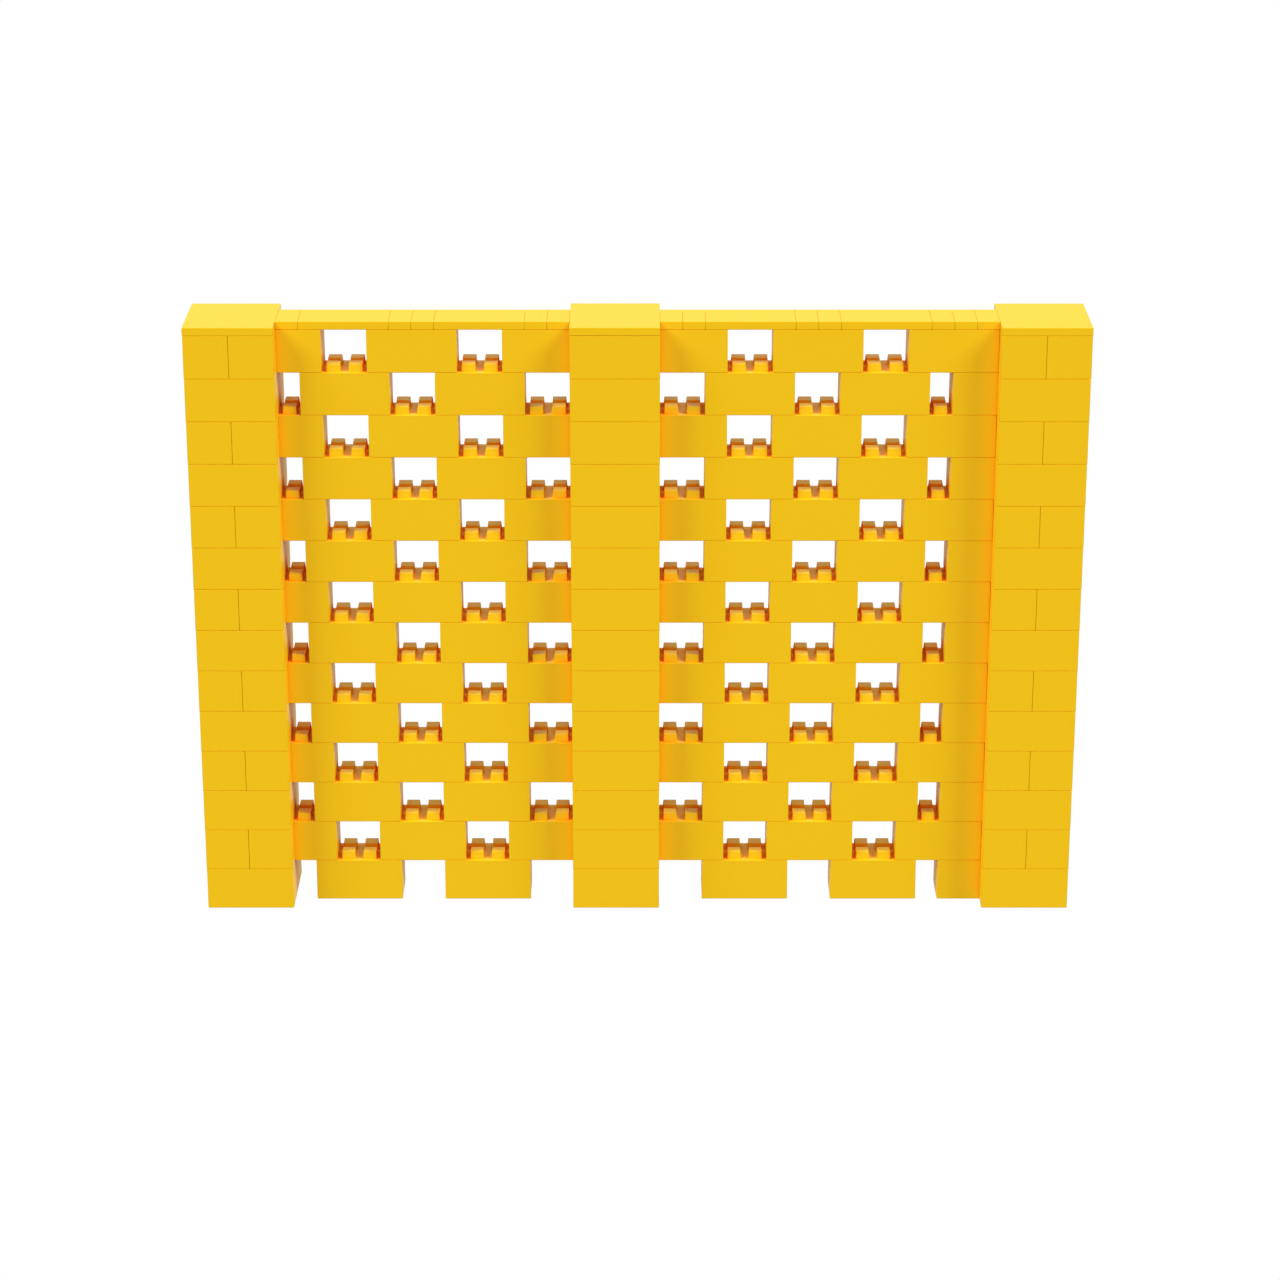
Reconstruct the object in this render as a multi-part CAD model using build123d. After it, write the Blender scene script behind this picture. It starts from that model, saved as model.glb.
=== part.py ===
"""Crowd control barrier: a free-standing wall of interlocking hollow plastic blocks.

Three square pillars carry two lattice bays.  Every block is a moulded shell, open
underneath, with a grid of square lugs on its deck and sides that lean in a little from
rim to deck.  The lugs of one course enter the blocks of the course above, and finishing
caps cover the lugs of the top course.

Frame: millimetres, +X to the right along the wall, -Y towards the viewer, +Z up.  The
origin is on the floor, under the middle of the barrier.
"""
from build123d import *
import os
from math import atan, degrees

# ---- Driving dimensions (mm) ----
lug_pitch = 76.2            # distance between lug centres, both ways
course_height = 150.4       # rim to deck of one block
rim_clearance = 0.4         # gap between the rims of two neighbouring blocks
side_draft = 0.5            # how far each side of a block leans in, from its rim to its deck
rim_break = 2.2             # chamfer around the rim of every block and cap
deck_break = 1.0            # chamfer around the deck of a block and the top of a cap

wall_thickness = 4.5        # outer walls of a block
deck_thickness = 4.5        # deck of a block
web_thickness = 3.0         # inner webs that stiffen the deck
web_rise = 6.0              # from the rim up to the lower edge of the webs

lug_base = 50.0             # square lug, side at the deck
lug_lean = 2.5              # how far each side of a lug leans in, from the deck to its top
lug_height = 26.0
lug_corner = 3.0            # chamfer on the upright corners of a lug
lug_wall = 3.5

rib_width = 16.0            # locating ribs inside the outer walls
rib_height = 40.0
rib_root = 2.0              # how far a rib is rooted in its wall
rib_clearance = 0.5         # from a rib to the foot of the lug that it locates

cap_skin = 2.2              # top of a finishing cap
cap_clearance = 0.3         # from the top of a lug to the skin of a cap
centre_cap_gap = 0.6        # the centre pillar's cap is not pressed fully home

# ---- Layout, counted in lugs ----
course_count = 14
pillar_lugs = 4             # a pillar is this many lugs square
wall_lugs = 2               # the wall between the pillars is this deep
left_bay_lugs = 13
right_bay_lugs = 15
block_lugs = 4              # length of a full block
window_lugs = 2             # width of a lattice window
tie_lugs = 2                # how far a wall block reaches into an end pillar
first_long_cap = 1          # from a left or centre pillar to the first long cap, left bay
first_right_cap = 2         # the same in the right bay

# ---- Derived layout ----
left_pillar_start = 0
left_pillar_end = left_pillar_start + pillar_lugs
centre_pillar_start = left_pillar_end + left_bay_lugs
centre_pillar_end = centre_pillar_start + pillar_lugs
right_pillar_start = centre_pillar_end + right_bay_lugs
right_pillar_end = right_pillar_start + pillar_lugs
lattice_period = block_lugs + window_lugs
facing_lugs = (pillar_lugs - wall_lugs) // 2
facing_offset = (wall_lugs + facing_lugs) / 2
stretcher_offset = (pillar_lugs - wall_lugs) / 2
half_barrier = right_pillar_end / 2
deck_z = course_count * course_height

cap_height = lug_height + cap_clearance + cap_skin
wall_angle = degrees(atan(side_draft / course_height))
lug_angle = degrees(atan(lug_lean / lug_height))


def lug_grid(lugs_x, lugs_y):
    """Centres of the lugs of a block that is lugs_x by lugs_y."""
    return GridLocations(lug_pitch, lug_pitch, lugs_x, lugs_y)


def footprint(lugs):
    """Side of a block that covers this many lugs, at its rim."""
    return lugs * lug_pitch - rim_clearance


def seated_box(length, width, height):
    """Box that stands on the XY plane."""
    return Box(length, width, height, align=(Align.CENTER, Align.CENTER, Align.MIN))


def leaning_box(length, width, height, angle):
    """Box that stands on the XY plane, with sides that lean in by this angle."""
    return extrude(Rectangle(length, width), amount=height, taper=angle)


def inner_webs(lugs_x, lugs_y, depth):
    """Webs between the rows of lugs, hanging from the deck."""
    height = depth - web_rise
    webs = []
    for i in range(1, lugs_x):
        web = seated_box(web_thickness, footprint(lugs_y), height)
        webs.append(Pos((i - lugs_x / 2) * lug_pitch, 0, web_rise) * web)
    for j in range(1, lugs_y):
        web = seated_box(footprint(lugs_x), web_thickness, height)
        webs.append(Pos(0, (j - lugs_y / 2) * lug_pitch, web_rise) * web)
    return webs


def locating_ribs(lugs_x, lugs_y, depth):
    """Ribs on the outer walls that meet the outer lugs of the course below."""
    height = min(rib_height, depth)
    ribs = []
    for lugs, across, turn in ((lugs_x, lugs_y, 0), (lugs_y, lugs_x, 90)):
        wall_face = footprint(across) / 2 - wall_thickness
        lug_face = (across - 1) / 2 * lug_pitch + lug_base / 2
        tip = lug_face + rib_clearance
        root = wall_face + rib_root
        middle = (tip + root) / 2
        rib = seated_box(rib_width, root - tip, height)
        for i in range(lugs):
            along = (i - (lugs - 1) / 2) * lug_pitch
            for side in (-1, 1):
                ribs.append(Rot(0, 0, turn) * Pos(along, side * middle, 0) * rib)
    return ribs


def moulded_shell(lugs_x, lugs_y, height, skin):
    """Shell open underneath, with its webs and locating ribs, rim on the XY plane."""
    length = footprint(lugs_x)
    width = footprint(lugs_y)
    depth = height - skin
    shell = leaning_box(length, width, height, wall_angle)
    shell = chamfer(shell.faces().sort_by(Axis.Z)[-1].edges(), deck_break)
    shell = chamfer(shell.faces().sort_by(Axis.Z)[0].edges(), rim_break)
    cavity = leaning_box(length - 2 * wall_thickness, width - 2 * wall_thickness, depth, wall_angle)
    cavity = cavity - inner_webs(lugs_x, lugs_y, depth) - locating_ribs(lugs_x, lugs_y, depth)
    return shell - cavity


def lug():
    """Tapered square lug, foot on the XY plane."""
    outline = Rectangle(lug_base, lug_base)
    outline = chamfer(outline.vertices(), lug_corner)
    return extrude(outline, amount=lug_height, taper=lug_angle)


def lug_core():
    """Hollow under a lug, from the underside of the deck."""
    side = lug_base - 2 * lug_wall
    height = deck_thickness + lug_height - lug_wall
    return Pos(0, 0, -deck_thickness) * leaning_box(side, side, height, lug_angle)


def block(lugs_x, lugs_y):
    """Building block with hollow lugs on its deck."""
    deck = Pos(0, 0, course_height)
    body = moulded_shell(lugs_x, lugs_y, course_height, deck_thickness)
    lugs = [deck * place * lug() for place in lug_grid(lugs_x, lugs_y)]
    cores = [deck * place * lug_core() for place in lug_grid(lugs_x, lugs_y)]
    return (body + lugs - cores).solid()


def cap(lugs_x, lugs_y):
    """Finishing cap: a flat shell that hides the lugs under it."""
    return moulded_shell(lugs_x, lugs_y, cap_height, cap_skin).solid()


made = {}


def placed(kind, lugs_x, lugs_y, start, z, offset=0.0, name="block"):
    """Copy of a piece: start is its left end and offset its depth place, in lugs."""
    if (kind, lugs_x, lugs_y) not in made:
        made[(kind, lugs_x, lugs_y)] = kind(lugs_x, lugs_y)
    x = (start + lugs_x / 2 - half_barrier) * lug_pitch
    piece = made[(kind, lugs_x, lugs_y)].moved(Location((x, offset * lug_pitch, z)))
    piece.label = name
    return piece


def is_bonded(course):
    """The top course and every second one below it tie into the left and centre pillars."""
    return (course_count - course) % 2 == 0


def in_centre_pillar(start):
    """A lattice block here would stand inside the centre pillar."""
    return start < centre_pillar_end and start + block_lugs > centre_pillar_start


def wall_starts(course):
    """Left ends of the full blocks in one course of the two bays."""
    first = left_pillar_end - tie_lugs
    last = right_pillar_start - block_lugs
    if is_bonded(course):
        return list(range(first, last + 1, lattice_period))
    lattice = range(first + lattice_period // 2, last + 1, lattice_period)
    return [s for s in lattice if not in_centre_pillar(s)] + [last + tie_lugs]


def wall_course(course):
    """Full blocks of the two bays, with the ends that reach into the pillars."""
    z = (course - 1) * course_height
    return [placed(block, block_lugs, wall_lugs, s, z, name="wall_block") for s in wall_starts(course)]


def stretchers(start, z):
    """Two full blocks side by side along the wall, front and rear."""
    return [
        placed(block, pillar_lugs, wall_lugs, start, z, side * stretcher_offset, "stretcher")
        for side in (-1, 1)
    ]


def facings(lugs, start, z, name):
    """Thin blocks in front of and behind the wall blocks that pass through a pillar."""
    return [
        placed(block, lugs, facing_lugs, start, z, side * facing_offset, name)
        for side in (-1, 1)
    ]


def left_pillar_course(course):
    z = (course - 1) * course_height
    if not is_bonded(course):
        return stretchers(left_pillar_start, z)
    header = placed(block, wall_lugs, pillar_lugs, left_pillar_start, z, name="header")
    inner = left_pillar_end - tie_lugs
    return [header] + facings(tie_lugs, inner, z, "quarter_block")


def centre_pillar_course(course):
    z = (course - 1) * course_height
    if not is_bonded(course):
        return stretchers(centre_pillar_start, z)
    core_start = max(s for s in wall_starts(course) if s < centre_pillar_start) + block_lugs
    core = placed(block, window_lugs, wall_lugs, core_start, z, name="half_block")
    return [core] + facings(pillar_lugs, centre_pillar_start, z, "facing_block")


def right_pillar_course(course):
    z = (course - 1) * course_height
    if is_bonded(course):
        return [
            placed(block, wall_lugs, pillar_lugs, s, z, name="header")
            for s in (right_pillar_start, right_pillar_start + wall_lugs)
        ]
    core_start = right_pillar_start + tie_lugs
    core = placed(block, pillar_lugs - tie_lugs, wall_lugs, core_start, z, name="half_block")
    return [core] + facings(pillar_lugs, right_pillar_start, z, "facing_block")


def bay_caps(bay, bay_start, bay_lugs, first_long):
    """Long caps over the windows of the top course, short caps in between."""
    nodes = {}
    short_starts = list(range(bay_start, bay_start + bay_lugs))
    long_start = bay_start + first_long
    long_index = 1
    while long_start + block_lugs <= bay_start + bay_lugs:
        name = f"{bay}_bay_long_cap_{long_index}"
        nodes[name] = [placed(cap, block_lugs, wall_lugs, long_start, deck_z, name=name)]
        short_starts = [s for s in short_starts if not long_start <= s < long_start + block_lugs]
        long_start += lattice_period
        long_index += 1
    for index, start in enumerate(short_starts, 1):
        name = f"{bay}_bay_short_cap_{index}"
        nodes[name] = [placed(cap, 1, wall_lugs, start, deck_z, name=name)]
    return nodes


def pillar_cap(start, name, gap=0.0):
    return [placed(cap, pillar_lugs, pillar_lugs, start, deck_z + gap, name=name)]


def barrier():
    """Every node of the barrier, as a list of separate solids under the node's name."""
    nodes = {}
    for course in range(1, course_count + 1):
        nodes[f"wall_course_{course:02d}"] = wall_course(course)
    pillars = {
        "left_pillar": left_pillar_course,
        "centre_pillar": centre_pillar_course,
        "right_pillar": right_pillar_course,
    }
    for pillar, make_course in pillars.items():
        for lower in range(1, course_count + 1, 2):
            upper = min(lower + 1, course_count)
            pieces = make_course(lower)
            if upper > lower:
                pieces = pieces + make_course(upper)
            nodes[f"{pillar}_courses_{lower:02d}_{upper:02d}"] = pieces
    nodes.update(bay_caps("left", left_pillar_end, left_bay_lugs, first_long_cap))
    nodes.update(bay_caps("right", centre_pillar_end, right_bay_lugs, first_right_cap))
    nodes["left_pillar_cap"] = pillar_cap(left_pillar_start, "left_pillar_cap")
    nodes["centre_pillar_cap"] = pillar_cap(centre_pillar_start, "centre_pillar_cap", centre_cap_gap)
    nodes["right_pillar_cap"] = pillar_cap(right_pillar_start, "right_pillar_cap")
    return nodes


os.makedirs("parts", exist_ok=True)
for node, pieces in barrier().items():
    whole = pieces[0] if len(pieces) == 1 else Compound(label=node, children=pieces)
    export_step(whole, f"parts/{node}.step")
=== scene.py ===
import math

import bpy
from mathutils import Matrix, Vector

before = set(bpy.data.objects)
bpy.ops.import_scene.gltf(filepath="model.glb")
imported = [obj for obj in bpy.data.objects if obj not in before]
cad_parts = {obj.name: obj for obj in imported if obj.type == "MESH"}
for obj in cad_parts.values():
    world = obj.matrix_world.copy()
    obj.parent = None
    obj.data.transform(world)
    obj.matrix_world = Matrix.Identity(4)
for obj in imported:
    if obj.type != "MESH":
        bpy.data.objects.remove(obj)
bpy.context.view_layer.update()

# ---- Camera ----
CAMERA_PLACE = (0.0084, -11.738, 5.447)
CAMERA_DOWN = math.radians(20.918)      # below the horizon
LENS_MM = 101.10
SENSOR_MM = 36.0

# ---- Floor and light ----
FLOOR_SIDE = 400.0
FLOOR_DROP = 0.0005                     # floor below the block rims, so the two don't flicker
SEEN_WHITE = 1.0                        # floor and backdrop as they are seen and mirrored
FLOOR_LIGHT = 0.42                      # what the floor throws up at the wall
HORIZON_LIGHT = 0.50
ZENITH_LIGHT = 0.07
HORIZON_FALL = 4.0                      # how fast the light drops from the horizon upwards
REAR_LIGHT = 1.0                        # extra light from low behind the wall
REAR_FALL = 2.0
KEY_LIGHT = 2.08                        # two high soft lights, from the left and from the right
KEY_SIDE, KEY_FRONT, KEY_UP = 0.63, 0.327, 0.706
KEY_SPREAD = math.radians(26)
FRONT_LIGHT = 0.45
FRONT_UP = math.radians(21)
FRONT_SPREAD = math.radians(25)
BACK_LIGHT = 0.45
BACK_UP = math.radians(50)
BACK_SPREAD = math.radians(40)

# ---- Finish ----
BLOCK_SHADES = ((0.99, 0.60, 0.007, 1.0), (0.98, 0.58, 0.006, 1.0))
CAP_SHADES = ((0.99, 0.60, 0.007, 1.0), (0.98, 0.585, 0.006, 1.0))
BLOCK_ROUGHNESS = 0.42
CAP_ROUGHNESS = 0.38
PLASTIC_IOR = 1.46
PLASTIC_SHEEN = 0.14                    # strength of the mirrored light
CLOUD_SCALE = 2.2                       # cloudiness of the pigment, features per metre
GRAIN_SCALE = 650.0                     # mould grain
WAVE_SCALE = 9.0                        # waviness of the flat faces
CLOUD_TINT, GRAIN_TINT = 0.6, 0.25      # their shares in the mix of the two shades
GRAIN_DULL, CLOUD_SHINE = 0.08, 0.04    # what they add to and take from the roughness
WAVE_STRENGTH, WAVE_DEPTH = 0.35, 0.0008
GRAIN_STRENGTH, GRAIN_DEPTH = 0.12, 0.00025
RECESS_REACH = 0.09                     # how near the walls of a recess are, for the painted recess shade
RECESS_ONSET = 1.5                      # above 1, open corners between two faces stay plain
PAINTED_RECESS_ORANGE = (1.0, 0.17, 0.0, 1.0)   # painted orange shade in recesses, standing in for the light the plastic's own walls bounce there
RECESS_DULL = 0.55
EDGE_RADIUS = 0.0008                    # rounding on edges that the mould leaves sharp
ROUNDED_EDGE = math.radians(60)         # edges that turn by more than this are rounded
CREASED_EDGE = math.radians(30)         # edges that turn by more than this are shaded as creases
WELD_GAP = 0.00001

# ---- Outputs of nodes that have several ----
DIFFUSE_RAY = 2                         # Light Path
GENERATED_PLACE, OBJECT_PLACE = 0, 3    # Texture Coordinate
OPENNESS = 1                            # Ambient Occlusion

WHITE = (1.0, 1.0, 1.0, 1.0)


class Val:
    """A node socket that takes part in Python expressions; each operator adds a Math node."""

    def __init__(self, maker, socket):
        self.maker = maker
        self.socket = socket

    def _maths(self, operation, *values):
        return self.maker.node("ShaderNodeMath", {"operation": operation}, *values)[0]

    def __add__(self, other):
        return self._maths("ADD", self, other)

    def __sub__(self, other):
        return self._maths("SUBTRACT", self, other)

    def __rsub__(self, other):
        return self._maths("SUBTRACT", other, self)

    def __mul__(self, other):
        return self._maths("MULTIPLY", self, other)

    def __pow__(self, other):
        return self._maths("POWER", self, other)

    def clamped(self):
        return self._maths("MINIMUM", self._maths("MAXIMUM", self, 0.0), 1.0)

    __radd__ = __add__
    __rmul__ = __mul__


class Finish:
    """A node tree under construction: a material's, the backdrop's or a modifier's."""

    def __init__(self, tree):
        self.tree = tree
        tree.nodes.clear()

    def node(self, kind, settings=None, *values, **named):
        """Adds a node: its settings first, then its inputs in order or by name; returns its outputs."""
        made = self.tree.nodes.new(kind)
        for key, value in (settings or {}).items():
            setattr(made, key, value)
        for place, value in enumerate(values):
            self.feed(made.inputs[place], value)
        for key, value in named.items():
            self.feed(made.inputs[key.replace("_", " ")], value)
        return [Val(self, out) for out in made.outputs if out.enabled]

    def feed(self, socket, value):
        if isinstance(value, Val):
            self.tree.links.new(value.socket, socket)
        elif value is not None:
            socket.default_value = value

    def noise(self, where, scale, detail=2.0, roughness=0.5):
        """Noise from 0 to 1, with scale in features per metre."""
        return self.node("ShaderNodeTexNoise", None, Vector=where, Scale=scale, Detail=detail,
                         Roughness=roughness)[0]

    def mix(self, factor, first, second):
        """Blend of two colours."""
        made = self.tree.nodes.new("ShaderNodeMix")
        made.data_type = "RGBA"
        colour_inputs = [s for s in made.inputs if s.type == "RGBA"]
        self.feed(made.inputs[0], factor)
        self.feed(colour_inputs[0], first)
        self.feed(colour_inputs[1], second)
        return Val(self, [s for s in made.outputs if s.type == "RGBA"][0])

    def bump(self, height, strength, distance, normal=None):
        """Relief laid over an earlier one, if there is one."""
        return self.node("ShaderNodeBump", None, Strength=strength, Distance=distance, Height=height,
                         Normal=normal)[0]

    def white_to_the_eye(self, kind, strength):
        """Light of that strength on dull surfaces, and plain white where it is seen or mirrored."""
        on_dull_surfaces = self.node("ShaderNodeLightPath")[DIFFUSE_RAY]
        white = self.node(kind, None, WHITE, SEEN_WHITE)[0]
        light = self.node(kind, None, WHITE, strength)[0]
        return self.node("ShaderNodeMixShader", None, on_dull_surfaces, white, light)[0]


def new_material(name):
    """Empty node material."""
    material = bpy.data.materials.new(name)
    material.use_nodes = True
    return material


def moulded_yellow(name, shades, roughness):
    """Satin moulded plastic: even colour, fine mould grain, a slight waviness on flat faces, and painted
    orange shade in recesses.
    """
    material = new_material(name)
    finish = Finish(material.node_tree)
    where = finish.node("ShaderNodeTexCoord")[OBJECT_PLACE]
    cloud = finish.noise(where, CLOUD_SCALE, 3.0)
    grain = finish.noise(where, GRAIN_SCALE, 3.0, 0.6)
    waves = finish.noise(where, WAVE_SCALE, 1.0)
    # painted shade: where the ambient-occlusion node finds the block's own walls near, the colour turns
    # orange and the surface duller
    open_sides = finish.node("ShaderNodeAmbientOcclusion", {"samples": 8}, WHITE, RECESS_REACH)[OPENNESS]
    painted_recess_shade = (1.0 - open_sides * RECESS_ONSET).clamped()
    colour = finish.mix(cloud * CLOUD_TINT + grain * GRAIN_TINT, *shades)
    colour = finish.mix(painted_recess_shade, colour, PAINTED_RECESS_ORANGE)
    dullness = roughness + grain * GRAIN_DULL - cloud * CLOUD_SHINE + painted_recess_shade * RECESS_DULL
    relief = finish.bump(waves, WAVE_STRENGTH, WAVE_DEPTH)
    relief = finish.bump(grain, GRAIN_STRENGTH, GRAIN_DEPTH, relief)
    plastic = finish.node("ShaderNodeBsdfPrincipled", None, Base_Color=colour, Roughness=dullness,
                          Normal=relief, IOR=PLASTIC_IOR, Specular_IOR_Level=PLASTIC_SHEEN)[0]
    finish.node("ShaderNodeOutputMaterial", None, plastic)
    return material


def pale_floor():
    """White paper, shadowless to the eye."""
    material = new_material("pale_floor")
    material.cycles.emission_sampling = "NONE"
    finish = Finish(material.node_tree)
    glow = finish.white_to_the_eye("ShaderNodeEmission", FLOOR_LIGHT)
    finish.node("ShaderNodeOutputMaterial", None, glow)
    return material


def camera():
    """Camera in front of the wall, looking down at it."""
    data = bpy.data.cameras.new("camera")
    data.lens = LENS_MM
    data.sensor_width = SENSOR_MM
    data.clip_end = 500.0
    holder = bpy.data.objects.new("camera", data)
    holder.location = CAMERA_PLACE
    holder.rotation_euler = (math.pi / 2 - CAMERA_DOWN, 0.0, 0.0)
    bpy.context.scene.collection.objects.link(holder)
    bpy.context.scene.camera = holder


def floor():
    """One large flat sheet."""
    mesh = bpy.data.meshes.new("floor")
    half = FLOOR_SIDE / 2
    corners = [(-half, -half, -FLOOR_DROP), (half, -half, -FLOOR_DROP),
               (half, half, -FLOOR_DROP), (-half, half, -FLOOR_DROP)]
    mesh.from_pydata(corners, [], [(0, 1, 2, 3)])
    mesh.materials.append(pale_floor())
    ground = bpy.data.objects.new("floor", mesh)
    bpy.context.scene.collection.objects.link(ground)
    ground.visible_shadow = False       # so that the painted recess shade doesn't take the floor for the wall of a recess


def backdrop():
    """White to look at; as a light, bright at the horizon and dim above."""
    scene = bpy.context.scene
    scene.view_settings.view_transform = "Standard"
    scene.world = bpy.data.worlds.new("backdrop")
    scene.world.use_nodes = True
    scene.world.cycles.sampling_method = "NONE"
    sky = Finish(scene.world.node_tree)
    direction = sky.node("ShaderNodeTexCoord")[GENERATED_PLACE]
    _, depth, height = sky.node("ShaderNodeSeparateXYZ", None, direction)
    low = 1.0 - height.clamped()
    strength = ZENITH_LIGHT + (HORIZON_LIGHT - ZENITH_LIGHT) * low ** HORIZON_FALL
    strength = strength + REAR_LIGHT * depth.clamped() * low ** REAR_FALL
    glow = sky.white_to_the_eye("ShaderNodeBackground", strength)
    sky.node("ShaderNodeOutputWorld", None, glow)


def soft_light(name, towards, strength, spread):
    """Broad light that shines from the direction of towards."""
    data = bpy.data.lights.new(name, "SUN")
    data.energy = strength
    data.angle = spread
    holder = bpy.data.objects.new(name, data)
    holder.rotation_euler = Vector(towards).to_track_quat("Z", "Y").to_euler()
    bpy.context.scene.collection.objects.link(holder)


def lights():
    """Two high keys at the sides, and weaker light from the front and the back."""
    soft_light("left_key", (-KEY_SIDE, -KEY_FRONT, KEY_UP), KEY_LIGHT, KEY_SPREAD)
    soft_light("right_key", (KEY_SIDE, -KEY_FRONT, KEY_UP), KEY_LIGHT, KEY_SPREAD)
    soft_light("front_light", (0.0, -math.cos(FRONT_UP), math.sin(FRONT_UP)), FRONT_LIGHT, FRONT_SPREAD)
    soft_light("back_light", (0.0, math.cos(BACK_UP), math.sin(BACK_UP)), BACK_LIGHT, BACK_SPREAD)


def crisp_shading():
    """Modifier tree that joins a mesh's split corners and keeps its flat faces flat in the light."""
    tree = bpy.data.node_groups.new("crisp_shading", "GeometryNodeTree")
    tree.interface.new_socket("Mesh", in_out="INPUT", socket_type="NodeSocketGeometry")
    tree.interface.new_socket("Mesh", in_out="OUTPUT", socket_type="NodeSocketGeometry")
    steps = Finish(tree)
    turn = steps.node("GeometryNodeInputMeshEdgeAngle")[0]
    creased = steps.node("FunctionNodeCompare", {"operation": "GREATER_THAN"}, turn, CREASED_EDGE)[0]
    mesh = steps.node("NodeGroupInput")[0]
    mesh = steps.node("GeometryNodeMergeByDistance", None, Geometry=mesh, Distance=WELD_GAP)[0]
    mesh = steps.node("GeometryNodeSetMeshNormal", {"mode": "SHARPNESS"}, Mesh=mesh, Remove_Custom=True,
                      Edge_Sharpness=creased)[0]
    steps.node("NodeGroupOutput", None, mesh)
    return tree


def soften_edges(piece, shading):
    """Rounds the edges that the block's shape leaves sharp."""
    piece.modifiers.new("crisp", "NODES").node_group = shading
    bevel = piece.modifiers.new("edge", "BEVEL")
    bevel.width = EDGE_RADIUS
    bevel.segments = 2
    bevel.limit_method = "ANGLE"
    bevel.angle_limit = ROUNDED_EDGE
    bevel.harden_normals = True


def dress(node, finish, shading):
    """Gives a CAD node its finish."""
    node.data.materials.clear()
    node.data.materials.append(finish)
    soften_edges(node, shading)


camera()
backdrop()
lights()
floor()

block_finish = moulded_yellow("block_yellow", BLOCK_SHADES, BLOCK_ROUGHNESS)
cap_finish = moulded_yellow("cap_yellow", CAP_SHADES, CAP_ROUGHNESS)
shading = crisp_shading()
for name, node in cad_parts.items():
    is_cap = name.endswith("_cap") or "_cap_" in name
    dress(node, cap_finish if is_cap else block_finish, shading)
